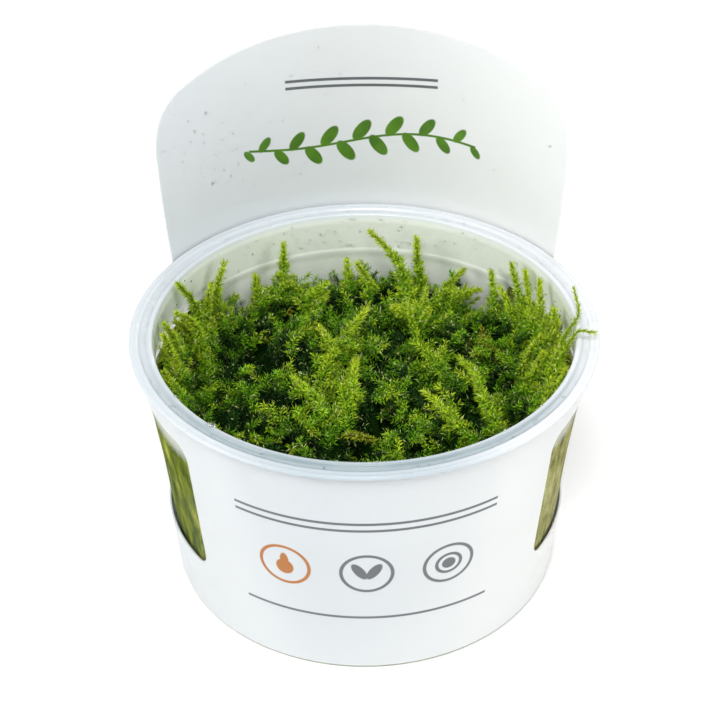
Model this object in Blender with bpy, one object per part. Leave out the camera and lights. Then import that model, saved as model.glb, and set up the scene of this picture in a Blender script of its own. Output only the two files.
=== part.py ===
"""A clump of aquarium moss in a small translucent cup, wrapped in a white card label.

Lengths are in millimetres up to the last step, which writes every mesh in metres, +Z up.
The origin is the middle of the cup's flat base. The header card stands at the back, at +Y.
Angles round the cup are counted from the front, at -Y, towards +X.
"""

import math
import random

import bmesh
import bpy
from mathutils import Vector
from mathutils.bvhtree import BVHTree
from mathutils.geometry import delaunay_2d_cdt

MM = 0.001
GAP = 0.3

# Label sleeve: a thin card cone round the cup, cut away at both sides
CARD = 0.4
SLEEVE_FOOT_Z = 0.85
SLEEVE_TOP_Z = 57.3
SLEEVE_FOOT_R = 42.4
SLEEVE_TOP_R = 48.4
SLEEVE_ROWS = (0.85, 15.0, 30.0, 44.0, 48.0, 52.0, 55.5, 57.3)
FRONT_COLUMNS = 40
WINDOW_LOW_Z = 16.4
WINDOW_HIGH_Z = 51.0
WINDOW_FRONT_DEG = 52.0
WINDOW_BACK_DEG = 128.0
WINDOW_TURN_DEG = 1.8
WINDOW_CORNER = 4.0

# Header card: the sleeve's back, which passes behind the flange and stands up to a round top
HEADER_R = 50.7
HEADER_HALF = 50.7
HEADER_LEAN = math.radians(4.5)
HEADER_TOP_Z = 104.7
HEADER_ARC_R = 80.0
SHOULDER_R = 15.7
HEADER_FLATTEN = 0.00027
HEADER_ROWS = 8
ARC_COLUMNS = 8
SHOULDER_COLUMNS = 7
BULGE_START_Z = 46.0
BULGE_END_Z = 56.0
BULGE_FADE = math.radians(14.0)

# Cup: a turned shell with a collar, an inner lip, a groove and a broad flange
CUP_SIDES = 60
CUP_WALL = 1.0
CUP_FLOOR = 1.2
FOOT_R = 42.0
COLLAR_R = 45.7
COLLAR_LOW_Z = 49.8
BODY_TOP_Z = 47.0
LIP_R = 44.7
LIP_Z = 59.1
FLANGE_R = 50.0
FLANGE_Z = 59.0
FLANGE_UNDER_Z = 57.8

# Moss mat: the dense cushion that fills the cup, with pointed tufts all over its top
MAT_CLEAR = 0.4
MAT_FLOOR_Z = CUP_FLOOR + 0.4
MAT_EDGE_Z = 42.5
MAT_EDGE_LEAN = 2.5
MAT_MIDDLE_Z = 47.5
MAT_EDGE_POINTS = 44
MAT_POINTS = 560
MAT_SIDE_ROWS = (4.0, 15.0, 27.0)
TUFT_SPACING = 4.0
TUFT_UP = (0.6, 3.2)
HOLLOW_DOWN = (1.8, 4.2)
BASE_CLEAR = 2.4
SEED = 8

# Hollows between the fronds and low places by the wall: middle (x, y), radius and depth
HOLLOWS = (
    ((-25.5, 12.0), 6.5, 4.5),
    ((-18.5, 6.0), 5.0, 4.0),
    ((-11.7, -4.0), 3.2, 4.0),
    ((-13.4, -19.2), 3.6, 4.0),
    ((0.4, -18.0), 4.6, 5.0),
    ((4.2, 13.4), 3.2, 4.0),
    ((9.2, -21.2), 3.0, 3.5),
    ((19.4, -9.2), 3.4, 3.5),
    ((-29.0, 34.0), 4.5, 7.0),
    ((25.5, 33.5), 5.0, 8.0),
)

# Standing shoots: where each starts on the mat (x, y), the points that it bends through, and
# its widest half width. The last point is the tip.
SHOOTS = (
    ("back_left_tall", (-32.5, 24.0), [(-33.1, 25.2, 51.0), (-31.2, 27.0, 57.8)], 1.5),
    ("back_left_short", (-35.0, 19.8), [(-35.0, 20.5, 50.5), (-33.9, 21.5, 55.8)], 1.2),
    ("left_leaning", (-36.6, 16.2), [(-37.0, 16.4, 53.0), (-40.4, 15.4, 60.0)], 1.2),
    ("left_side_twig", (-35.6, 8.6), [(-36.6, 8.8, 53.5), (-40.4, 8.0, 57.6)], 1.1),
    ("left_wall_upper", (-39.0, 4.2), [(-41.0, 4.2, 53.2), (-42.9, 4.0, 57.4)], 0.9),
    ("left_wall_lower", (-39.0, -0.6), [(-41.0, -1.0, 52.0), (-42.5, -2.0, 58.6)], 1.2),
    ("left_low_frond", (-36.8, 12.2), [(-38.2, 12.0, 48.8), (-41.2, 11.4, 53.0)], 0.9),
    ("back_cone", (-18.4, 35.0), [(-18.4, 35.8, 49.0), (-18.1, 37.0, 56.2)], 2.0),
    ("back_cone_side", (-24.0, 29.0), [(-24.2, 29.4, 47.5), (-24.6, 30.2, 52.0)], 1.5),
    ("back_middle_left", (-12.6, 27.6), [(-10.8, 28.8, 47.8), (-8.3, 30.0, 50.8)], 1.2),
    ("back_middle_small", (-3.4, 37.4), [(-3.6, 37.7, 47.6), (-3.7, 38.4, 50.6)], 1.2),
    ("back_middle", (1.2, 34.0), [(0.6, 34.6, 48.4), (-1.3, 35.0, 52.0)], 1.2),
    ("tall_leaning", (9.6, 33.6), [(8.4, 35.4, 51.6), (1.9, 37.8, 58.8)], 1.3),
    ("tall_thin", (13.6, 36.0), [(12.7, 36.4, 50.0), (12.2, 37.0, 57.4)], 0.9),
    ("right_leaning", (18.6, 33.2), [(20.0, 33.2, 47.6), (22.8, 34.0, 50.6)], 1.1),
    ("right_level", (20.6, 28.8), [(22.8, 28.0, 47.8), (26.6, 28.2, 49.4)], 0.9),
    ("right_column", (29.8, 26.6), [(29.5, 28.2, 48.0), (29.1, 30.4, 52.4)], 1.2),
    ("right_hook", (33.4, 22.2), [(32.8, 23.8, 47.8), (30.8, 26.4, 50.8)], 0.8),
    ("right_fork_left", (35.6, 18.6), [(35.0, 21.8, 50.5), (33.1, 24.2, 58.4)], 1.2),
    ("right_fork_right", (37.6, 14.6), [(37.0, 19.8, 51.0), (36.0, 22.8, 57.4)], 0.9),
    ("right_tall", (38.8, 10.0), [(39.2, 13.6, 50.0), (38.6, 16.4, 59.0)], 1.2),
    ("right_small", (39.6, 5.6), [(41.0, 6.8, 50.0), (41.4, 8.8, 56.6)], 0.8),
    ("right_arch", (39.2, 0.6), [(42.4, -0.4, 55.5), (45.4, 0.0, 61.6), (44.6, 3.6, 66.0)], 0.6),
    ("over_flange", (38.8, -4.6), [(42.0, -4.8, 54.5), (44.7, -5.2, 60.9), (48.4, -6.0, 61.4)], 0.6),
    ("right_wall_fresh", (40.0, -8.6), [(41.4, -8.8, 49.5), (42.4, -8.9, 53.5)], 1.3),
    ("right_wall_low", (38.4, -13.2), [(39.6, -13.6, 48.6), (40.6, -14.0, 52.0)], 1.3),
    ("right_mass", (36.0, -1.8), [(37.0, -2.0, 49.6), (38.2, -2.2, 53.2)], 1.5),
    ("right_mass_back", (35.8, 5.0), [(36.8, 4.8, 49.6), (38.4, 4.4, 53.0)], 1.3),
    ("left_wall_front", (-39.2, -6.4), [(-40.8, -6.8, 48.6), (-42.4, -7.4, 53.0)], 1.2),
    ("left_wall_low", (-37.6, -12.6), [(-39.0, -13.0, 47.8), (-40.8, -13.8, 51.2)], 1.2),
    ("middle_bright", (14.0, 17.0), [(10.6, 17.8, 49.8), (6.3, 18.0, 52.0)], 1.2),
    ("middle_back", (-3.5, 12.5), [(-1.8, 13.6, 50.4), (0.6, 15.0, 53.0)], 1.4),
    ("middle_left", (-6.4, 6.2), [(-7.8, 7.0, 51.0), (-9.8, 8.2, 53.2)], 1.6),
    ("front_left", (-8.6, -14.6), [(-11.4, -11.8, 50.6), (-14.8, -8.6, 52.2)], 1.6),
    ("front_middle", (-2.4, -10.8), [(-2.4, -7.6, 51.2), (-1.8, -3.0, 52.6)], 1.4),
    ("front_right", (18.4, -17.4), [(15.8, -15.6, 49.8), (12.6, -13.0, 51.4)], 1.5),
    ("middle_right", (27.0, -16.8), [(24.6, -11.4, 49.6), (23.2, -5.8, 51.2), (20.4, -1.8, 52.0)], 1.4),
)
SHOOT_SIDES = 5
SHOOT_RINGS = ((0.0, 0.3), (0.16, 0.85), (0.4, 1.0), (0.68, 0.74), (0.9, 0.42))
SHOOT_FLATNESS = 0.72


def clear_scene():
    for obj in list(bpy.data.objects):
        bpy.data.objects.remove(obj)


def material(name, color, roughness):
    made = bpy.data.materials.new(name)
    made.use_nodes = True
    shader = made.node_tree.nodes["Principled BSDF"]
    shader.inputs["Base Color"].default_value = (*color, 1.0)
    shader.inputs["Roughness"].default_value = roughness
    shader.inputs["Metallic"].default_value = 0.0
    return made


def add_object(name, points, faces, finish):
    """An object from points in millimetres and faces, shaded smooth away from its sharp edges."""
    mesh = bpy.data.meshes.new(name)
    mesh.from_pydata([Vector(point) * MM for point in points], [], faces)
    mesh.shade_smooth()
    mesh.set_sharp_from_angle(angle=math.radians(35))
    mesh.materials.append(finish)
    obj = bpy.data.objects.new(name, mesh)
    bpy.context.scene.collection.objects.link(obj)
    return obj


def smooth_step(value):
    value = min(max(value, 0.0), 1.0)
    return value * value * (3.0 - 2.0 * value)


def around(radius, angle, z):
    """The point at this radius and height, at an angle from the front."""
    return (radius * math.sin(angle), -radius * math.cos(angle), z)


def sleeve_r(z):
    """Outer radius of the sleeve's cone."""
    share = (z - SLEEVE_FOOT_Z) / (SLEEVE_TOP_Z - SLEEVE_FOOT_Z)
    return SLEEVE_FOOT_R + (SLEEVE_TOP_R - SLEEVE_FOOT_R) * share


def wall_r(z):
    """Outer radius of the cup's wall, just inside the sleeve."""
    return sleeve_r(z) - CARD - GAP


def cup_profile():
    """Radius and height from the middle of the base, up the outside and down the inside."""
    outside = [
        (0.0, 0.0),
        (FOOT_R - 0.5, 0.0),
        (FOOT_R, 0.25),
        (FOOT_R, 0.5),
        (wall_r(0.8), 0.65),
        (wall_r(BODY_TOP_Z), BODY_TOP_Z),
        (COLLAR_R + 0.45, COLLAR_LOW_Z - 1.2),
        (COLLAR_R, COLLAR_LOW_Z),
        (COLLAR_R, FLANGE_UNDER_Z - 0.5),
        (COLLAR_R + 0.5, FLANGE_UNDER_Z),
        (FLANGE_R - 0.5, FLANGE_UNDER_Z),
        (FLANGE_R, FLANGE_UNDER_Z + 0.2),
        (FLANGE_R, FLANGE_Z - 0.35),
        (FLANGE_R - 0.35, FLANGE_Z),
    ]
    rim = [
        (LIP_R + 2.3, FLANGE_Z),
        (LIP_R + 1.95, FLANGE_Z - 0.75),
        (LIP_R + 1.15, FLANGE_Z - 0.75),
        (LIP_R + 0.8, LIP_Z - 0.2),
        (LIP_R + 0.35, LIP_Z),
        (LIP_R, LIP_Z - 0.5),
    ]
    inner_top = wall_r(BODY_TOP_Z) - CUP_WALL
    inner_low = wall_r(CUP_FLOOR + 2.0) - CUP_WALL
    inside = [
        (LIP_R, COLLAR_LOW_Z),
        (inner_top - 0.3, COLLAR_LOW_Z - 1.6),
        (inner_top, BODY_TOP_Z - 0.6),
        (inner_low, CUP_FLOOR + 2.0),
        (inner_low - 0.7, CUP_FLOOR + 0.5),
        (inner_low - 2.2, CUP_FLOOR),
        (0.0, CUP_FLOOR),
    ]
    return outside + rim + inside


def turned(profile, sides):
    """Points and faces of a profile turned about the Z axis. Its first and last points lie on the axis."""
    points = [(0.0, 0.0, profile[0][1]), (0.0, 0.0, profile[-1][1])]
    rings = []
    for radius, z in profile[1:-1]:
        rings.append(len(points))
        points += [around(radius, math.tau * side / sides, z) for side in range(sides)]
    faces = []
    for side in range(sides):
        after = (side + 1) % sides
        faces.append((0, rings[0] + after, rings[0] + side))
        for low, high in zip(rings, rings[1:]):
            faces.append((low + side, low + after, high + after, high + side))
        faces.append((1, rings[-1] + side, rings[-1] + after))
    return points, faces


def make_cup():
    points, faces = turned(cup_profile(), CUP_SIDES)
    return add_object("cup", points, faces, material("frosted_plastic", (0.80, 0.85, 0.80), 0.3))


def on_header(across, z):
    """A point of the header card, across its width at a height. The card is flatter higher up."""
    curve = 1.0 / HEADER_R - HEADER_FLATTEN * (z - SLEEVE_TOP_Z)
    turn = across * curve
    return (math.sin(turn) / curve, HEADER_R - (1.0 - math.cos(turn)) / curve, z)


def header_edge():
    """Across and height along the right half of the top edge: the round top, then the shoulder."""
    arc_z = HEADER_TOP_Z - HEADER_ARC_R
    side = HEADER_HALF * math.cos(HEADER_LEAN) + SLEEVE_TOP_Z * math.sin(HEADER_LEAN)
    inner = HEADER_ARC_R - SHOULDER_R
    reach = (side - SHOULDER_R - arc_z * math.sin(HEADER_LEAN)) / inner
    turn = math.asin(reach) - HEADER_LEAN
    edge = []
    for step in range(ARC_COLUMNS):
        angle = turn * step / ARC_COLUMNS
        edge.append((HEADER_ARC_R * math.sin(angle), arc_z + HEADER_ARC_R * math.cos(angle)))
    middle = (inner * math.sin(turn), arc_z + inner * math.cos(turn))
    last = math.pi / 2 - HEADER_LEAN
    for step in range(SHOULDER_COLUMNS + 1):
        angle = turn + (last - turn) * step / SHOULDER_COLUMNS
        across = middle[0] + SHOULDER_R * math.sin(angle)
        edge.append((across, middle[1] + SHOULDER_R * math.cos(angle)))
    return edge


def sleeve_mid_r(z, angle, header_turn):
    """Radius of the middle of the card, which swings out at the back to pass the flange."""
    plain = sleeve_r(z) - CARD / 2
    out = HEADER_R - (SLEEVE_TOP_R - CARD / 2)
    rise = smooth_step((z - BULGE_START_Z) / (BULGE_END_Z - BULGE_START_Z))
    from_back = math.pi - abs(angle)
    fade = 1.0 - smooth_step((from_back - header_turn) / BULGE_FADE)
    return plain + out * rise * fade


def make_sleeve(cutter):
    edge = header_edge()
    half = len(edge) - 1
    header_turn = HEADER_HALF / HEADER_R
    back = [header_turn * step / half for step in range(-half, half + 1)]
    angles = [-math.pi + turn for turn in back if turn >= 0]
    front = 2 * (math.pi - header_turn)
    angles += [angles[-1] + front * step / FRONT_COLUMNS for step in range(1, FRONT_COLUMNS + 1)]
    angles += [math.pi + turn for turn in back if -header_turn < turn < 0]
    columns = len(angles)
    points = []
    for z in SLEEVE_ROWS:
        points += [around(sleeve_mid_r(z, angle, header_turn), angle, z) for angle in angles]
    faces = []
    for row in range(len(SLEEVE_ROWS) - 1):
        for column in range(columns):
            low = row * columns + column
            beside = row * columns + (column + 1) % columns
            faces.append((low, beside, beside + columns, low + columns))
    # The header grows from the back columns of the top row, listed here from its left end, at -X
    top = (len(SLEEVE_ROWS) - 1) * columns
    below = [top + step % columns for step in range(half, -half - 1, -1)]
    starts = [turn * HEADER_R for turn in back]
    ends = [(-across, z) for across, z in reversed(edge)] + edge[1:]
    for row in range(1, HEADER_ROWS + 1):
        share = row / HEADER_ROWS
        above = []
        for start, (end, end_z) in zip(starts, ends):
            above.append(len(points))
            z = SLEEVE_TOP_Z + (end_z - SLEEVE_TOP_Z) * share
            points.append(on_header(start + (end - start) * share, z))
        for column in range(2 * half):
            faces.append((below[column + 1], below[column], above[column], above[column + 1]))
        below = above
    sleeve = add_object("label_sleeve", points, faces, material("white_card", (0.92, 0.93, 0.95), 0.45))
    thicken = sleeve.modifiers.new("card thickness", "SOLIDIFY")
    thicken.thickness = CARD * MM
    thicken.offset = 0.0
    thicken.use_even_offset = True
    windows = sleeve.modifiers.new("side windows", "BOOLEAN")
    windows.operation = "DIFFERENCE"
    windows.solver = "EXACT"
    windows.object = cutter
    return sleeve


def window_outline(front, rear):
    """Angle and height round a window with round corners, from the angles of its two upright edges."""
    radius = (sleeve_r(WINDOW_LOW_Z) + sleeve_r(WINDOW_HIGH_Z)) / 2
    corner_turn = WINDOW_CORNER / radius
    outline = []
    corners = (
        (rear - corner_turn, WINDOW_HIGH_Z - WINDOW_CORNER, 0),
        (front + corner_turn, WINDOW_HIGH_Z - WINDOW_CORNER, 1),
        (front + corner_turn, WINDOW_LOW_Z + WINDOW_CORNER, 2),
        (rear - corner_turn, WINDOW_LOW_Z + WINDOW_CORNER, 3),
    )
    for angle, z, quarter in corners:
        for step in range(5):
            turn = math.pi / 2 * (quarter + step / 4)
            outline.append((angle + corner_turn * math.cos(turn), z + WINDOW_CORNER * math.sin(turn)))
    return outline


def make_window_cutter():
    """Two wedges that reach from inside the card to outside it, one for each side window."""
    points, faces = [], []
    inner, outer = FOOT_R - 6.0, FLANGE_R + 6.0
    turn = math.radians(WINDOW_TURN_DEG)
    for side in (-1, 1):
        edges = [side * math.radians(WINDOW_FRONT_DEG) + turn, side * math.radians(WINDOW_BACK_DEG) + turn]
        outline = window_outline(min(edges), max(edges))
        middle = (sum(edges) / 2, (WINDOW_LOW_Z + WINDOW_HIGH_Z) / 2)
        start = len(points)
        count = len(outline)
        points += [around(inner, angle, z) for angle, z in outline]
        points += [around(outer, angle, z) for angle, z in outline]
        points += [around(inner, *middle), around(outer, *middle)]
        for step in range(count):
            here, after = start + step, start + (step + 1) % count
            faces.append((here, after, after + count, here + count))
            faces.append((after, here, start + 2 * count))
            faces.append((here + count, after + count, start + 2 * count + 1))
    cutter = add_object("window_cutter", points, faces, material("cutter", (0.5, 0.5, 0.5), 0.5))
    facing_out(cutter.data)
    cutter.hide_render = True
    cutter.display_type = "WIRE"
    return cutter


def facing_out(mesh):
    work = bmesh.new()
    work.from_mesh(mesh)
    bmesh.ops.recalc_face_normals(work, faces=work.faces)
    work.to_mesh(mesh)
    work.free()


def mat_level(x, y):
    """Mean height of the mat: low at the wall and in the hollows, and higher inwards."""
    share = min(math.hypot(x, y) / mat_r(MAT_EDGE_Z), 1.0)
    edge = mat_edge_z(y)
    level = edge + (MAT_MIDDLE_Z - edge) * (1.0 - share**3)
    for (hollow_x, hollow_y), radius, depth in HOLLOWS:
        near = math.hypot(x - hollow_x, y - hollow_y) / radius
        level -= depth * (1.0 - smooth_step(near / 1.4))
    return level


def mat_edge_z(y):
    """Mean height of the mat at the wall, which is lower at the front."""
    return MAT_EDGE_Z + MAT_EDGE_LEAN * y / mat_r(MAT_EDGE_Z)


def mat_r(z):
    """Radius of the mat's side, just clear of the inside of the cup."""
    return wall_r(z) - CUP_WALL - MAT_CLEAR


def far_from(places, x, y, distance):
    return all(math.hypot(x - px, y - py) > distance for px, py in places)


def shoot_route(place, bends, foot):
    return [Vector((*place, foot))] + [Vector(point) for point in bends]


def room_under_shoots(x, y):
    """Height that the mat stays below at a point, so that it keeps clear of the shoots leaning over it."""
    room = math.inf
    for _, place, bends, half_width in SHOOTS:
        route = shoot_route(place, bends, mat_level(*place))
        for step in range(3, 11):
            point = through(route, step / 10)
            if math.hypot(x - point.x, y - point.y) < half_width + 1.6:
                room = min(room, point.z - half_width - 0.8)
    return room


def mat_top_points(draw):
    """Points of the mat's top: a tuft under each shoot, and tufts and hollows between them."""
    bases = [place for _, place, _, _ in SHOOTS]
    top = [(x, y, mat_level(x, y)) for x, y in bases]
    reach = mat_r(MAT_EDGE_Z) - TUFT_SPACING / 2
    turn = math.pi * (3.0 - math.sqrt(5.0))
    tufts = list(bases)
    for index in range(MAT_POINTS):
        radius = reach * math.sqrt((index + 0.5) / MAT_POINTS)
        x = radius * math.cos(index * turn) + draw.uniform(-0.6, 0.6)
        y = radius * math.sin(index * turn) + draw.uniform(-0.6, 0.6)
        if not far_from(bases, x, y, BASE_CLEAR):
            continue
        if far_from(tufts, x, y, TUFT_SPACING):
            tufts.append((x, y))
            z = mat_level(x, y) + draw.uniform(*TUFT_UP)
        else:
            z = mat_level(x, y) - draw.uniform(*HOLLOW_DOWN)
        top.append((x, y, min(z, room_under_shoots(x, y))))
    return top


def make_mat():
    draw = random.Random(SEED)
    top = mat_top_points(draw)
    edge_angles = [math.tau * step / MAT_EDGE_POINTS for step in range(MAT_EDGE_POINTS)]
    edge = []
    for angle in edge_angles:
        x, y, _ = around(mat_r(MAT_EDGE_Z), angle, 0.0)
        z = mat_level(x, y) + draw.uniform(-1.6, 0.6)
        edge.append(around(mat_r(z), angle, z))
    inner = len(top)
    points = top + edge
    flat = [Vector(point[:2]) for point in points]
    border = [(inner + step, inner + (step + 1) % len(edge)) for step in range(len(edge))]
    _, _, triangles, _, _, _ = delaunay_2d_cdt(flat, border, [], 1, 1e-6)
    faces = [tuple(triangle) for triangle in triangles]
    above = inner
    for z in reversed(MAT_SIDE_ROWS):
        below = len(points)
        points += [around(mat_r(z), angle, z) for angle in edge_angles]
        faces += band(above, below, len(edge))
        above = below
    below = len(points)
    points += [around(mat_r(MAT_FLOOR_Z) - 2.6, angle, MAT_FLOOR_Z) for angle in edge_angles]
    faces += band(above, below, len(edge))
    points.append((0.0, 0.0, MAT_FLOOR_Z))
    last = len(points) - 1
    faces += [(below + step, last, below + (step + 1) % len(edge)) for step in range(len(edge))]
    mat = add_object("moss_mat", points, faces, material("moss_green", (0.13, 0.26, 0.02), 0.7))
    facing_out(mat.data)
    return mat


def band(above, below, count):
    """Faces between two rings of points, the first above the second."""
    steps = [(step, (step + 1) % count) for step in range(count)]
    return [(above + here, below + here, below + after, above + after) for here, after in steps]


def surface_under(tree, x, y, radius):
    """Highest point of a surface under a small disc, in millimetres."""
    highest = -math.inf
    for step in range(9):
        reach = radius if step else 0.0
        angle = math.tau * step / 8
        start = Vector((x + reach * math.cos(angle), y + reach * math.sin(angle), 90.0)) * MM
        hit, _, _, _ = tree.ray_cast(start, Vector((0.0, 0.0, -1.0)))
        if hit is not None:
            highest = max(highest, hit.z / MM)
    return highest


def through(points, share):
    """A point on the smooth curve through the points, from 0 at the first to 1 at the last."""
    spans = len(points) - 1
    index = min(int(share * spans), spans - 1)
    t = share * spans - index
    p1, p2 = points[index], points[index + 1]
    p0 = points[index - 1] if index else p1 * 2 - p2
    p3 = points[index + 2] if index + 2 <= spans else p2 * 2 - p1
    bend = (p0 * 2 - p1 * 5 + p2 * 4 - p3) * t**2 + (p1 * 3 - p0 - p2 * 3 + p3) * t**3
    return (p1 * 2 + (p2 - p0) * t + bend) / 2


def make_shoot(name, place, bends, half_width, tree, finish):
    """A leafy shoot: a slightly flattened spindle that rises from its tuft and ends in a point."""
    foot = surface_under(tree, *place, half_width / 2) + GAP
    route = shoot_route(place, bends, foot)
    points, faces = [], []
    for share, width in SHOOT_RINGS:
        middle = through(route, share)
        along = (through(route, min(share + 0.05, 1.0)) - through(route, max(share - 0.05, 0.0))).normalized()
        if share == 0.0:
            along = Vector((0.0, 0.0, 1.0))
        across = along.cross(Vector((0.0, 1.0, 0.0))).normalized()
        over = across.cross(along).normalized()
        for side in range(SHOOT_SIDES):
            angle = math.tau * side / SHOOT_SIDES
            wide = across * (math.cos(angle) * half_width * width)
            flat = over * (math.sin(angle) * half_width * width * SHOOT_FLATNESS)
            points.append(middle + wide + flat)
    tip = len(points)
    points += [route[-1], route[0]]
    for ring in range(len(SHOOT_RINGS) - 1):
        start = ring * SHOOT_SIDES
        faces += band(start + SHOOT_SIDES, start, SHOOT_SIDES)
    last = (len(SHOOT_RINGS) - 1) * SHOOT_SIDES
    for side in range(SHOOT_SIDES):
        after = (side + 1) % SHOOT_SIDES
        faces.append((last + side, last + after, tip))
        faces.append((after, side, tip + 1))
    shoot = add_object(name, points, faces, finish)
    facing_out(shoot.data)
    return shoot


def make_shoots(mat):
    tree = BVHTree.FromPolygons([v.co for v in mat.data.vertices], [p.vertices for p in mat.data.polygons])
    for name, place, bends, half_width in SHOOTS:
        finish = material("shoot_green_" + name, (0.28, 0.48, 0.02), 0.6)
        make_shoot("shoot_" + name, place, bends, half_width, tree, finish)


def main():
    clear_scene()
    make_cup()
    make_sleeve(make_window_cutter())
    make_shoots(make_mat())


main()
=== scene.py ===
"""The looks of a clump of aquarium moss in its labelled cup.

Lengths are in millimetres up to the functions that make a mesh, which write metres.
Angles round the cup are counted from the front, at -Y, towards +X.
"""

import math

import bpy
import numpy as np
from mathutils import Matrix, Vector, noise
from mathutils.bvhtree import BVHTree


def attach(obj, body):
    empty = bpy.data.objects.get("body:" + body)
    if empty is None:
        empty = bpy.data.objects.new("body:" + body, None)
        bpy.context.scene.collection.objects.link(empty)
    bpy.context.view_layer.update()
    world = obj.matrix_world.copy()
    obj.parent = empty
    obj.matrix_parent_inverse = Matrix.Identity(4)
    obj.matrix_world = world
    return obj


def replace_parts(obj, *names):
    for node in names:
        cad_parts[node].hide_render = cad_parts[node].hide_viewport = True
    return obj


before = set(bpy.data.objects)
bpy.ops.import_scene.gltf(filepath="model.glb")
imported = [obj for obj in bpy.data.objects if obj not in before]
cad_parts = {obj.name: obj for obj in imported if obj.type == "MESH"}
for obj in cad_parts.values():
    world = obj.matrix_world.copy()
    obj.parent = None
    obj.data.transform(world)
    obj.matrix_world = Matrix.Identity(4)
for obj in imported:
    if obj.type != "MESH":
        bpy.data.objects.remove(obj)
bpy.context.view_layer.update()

MM = 0.001

# Sizes shared with the solids
CARD = 0.4
SLEEVE_FOOT_Z, SLEEVE_TOP_Z = 0.85, 57.3
SLEEVE_FOOT_R, SLEEVE_TOP_R = 42.4, 48.4
CUP_WALL, CUP_FLOOR, WALL_GAP = 0.5, 1.2, 0.05
FOOT_R = 42.0
COLLAR_R, COLLAR_LOW_Z, BODY_TOP_Z = 45.7, 49.8, 47.0
LIP_R, LIP_Z, LIP_WIDTH = 44.7, 59.1, 1.4
STEP_Z = 49.1
FLANGE_R, FLANGE_Z, FLANGE_UNDER_Z = 50.0, 59.0, 58.2
LINE_OUT, LINE_IN, LINE_DEPTH = 0.7, 1.25, 0.08
GROOVE_IN, GROOVE_OUT, GROOVE_DEPTH = 1.7, 3.3, 0.45
WINDOW_LOW_Z, WINDOW_HIGH_Z = 16.4, 51.0
WINDOW_FRONT_DEG, WINDOW_BACK_DEG, WINDOW_TURN_DEG = 52.0, 128.0, 1.8
WINDOW_CORNER = 4.0
HEADER_R, HEADER_HALF = 50.7, 50.7
HEADER_LEAN = math.radians(4.5)
HEADER_TOP_Z, HEADER_ARC_R, SHOULDER_R = 104.7, 80.0, 15.7
HEADER_FLATTEN = 0.00027
BULGE_START_Z, BULGE_END_Z = 46.0, 56.0
BULGE_FADE = math.radians(14.0)
MAT_EDGE_Z, MAT_R = 42.5, 44.4

# Moss: the golden angle spreads leaves and plumes evenly
GOLDEN_TURN = 2.39996
LEAF_FINISH = "moss_leaf"
LEAF_FOOT_DEG, LEAF_TIP_DEG = 66.0, 46.0
LEAF_TAPER = (0.85, 1.0, 0.8)
LEAF_NARROW, LEAF_WIDE, LEAF_GAP = 0.075, 0.12, 0.05
LEAF_BELLY, LEAF_KEEL, LEAF_CURL = 0.42, 0.09, (-0.05, 0.28)
LEAF_PAST_WALL = 0.9
STEM_R = 0.16
NO_SHADE_LEVEL = -1000.0
DEPTH_SHADE_PER_MM = 0.18
CUSHION_LEAVES, CUSHION_LEAF = 7.5, 1.6
CARPET_PLUMES, CARPET_R = 1900, 44.0
CORE_SIDES, CORE_RINGS = 150, 50
CORE_DOWN, CORE_HOLLOW, CORE_GAP = 4.8, 7.0, 0.06
RELIEF_SPAN, RELIEF_HIGH = 7.5, 1.3
THIN_SHOOT = 0.72
WALL_REACH = 43.9
MIDDLE_R = 20.0
CORE_SEED, CUSHION_SEED, STANDING_SEED = 3, 5, 11

# Dark hollows between the fronds: x and y of the middle, and radius
HOLLOWS = (
    (-24.5, 9.5, 8.0),
    (-17.5, 7.0, 6.0),
    (-29.0, 3.0, 4.0),
    (-26.0, -14.5, 3.4),
    (-32.5, -10.5, 3.0),
    (-19.3, -23.0, 3.6),
    (4.8, 8.5, 3.4),
    (-11.7, -4.0, 3.6),
    (-13.4, -19.2, 4.2),
    (0.4, -18.0, 5.6),
    (4.2, 13.4, 4.0),
    (9.2, -21.2, 3.8),
    (19.4, -9.2, 4.0),
)

# Places with fresh yellow-green growth, and with olive-brown growth, given in the same way
FRESH_PATCHES = (
    (-23.1, -3.9, 5.0),
    (-7.3, 6.0, 6.0),
    (-15.0, 18.5, 5.0),
    (11.9, 3.1, 4.0),
    (41.0, 2.0, 10.0),
    (24.5, -10.0, 4.0),
    (14.0, -17.0, 5.0),
    (-23.1, 29.0, 5.0),
    (15.0, 26.8, 5.0),
)
WARM_PATCHES = (
    (-37.7, 10.3, 4.0),
    (26.3, 12.9, 7.0),
    (34.8, 1.6, 5.0),
    (-4.2, -25.1, 3.0),
    (6.4, -8.6, 3.0),
    (9.1, 15.1, 3.0),
    (-34.6, 1.0, 4.0),
    (-16.8, 27.3, 3.0),
)

# Fresh growth that climbs the wall: first and last degrees from the front, fronds per degree,
# height of its middle, and least freshness
WALL_GROWTH = (
    (66.0, 122.0, 1.0, 55.0, 0.85),
    (-112.0, -64.0, 0.6, 53.5, 0.5),
)

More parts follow.
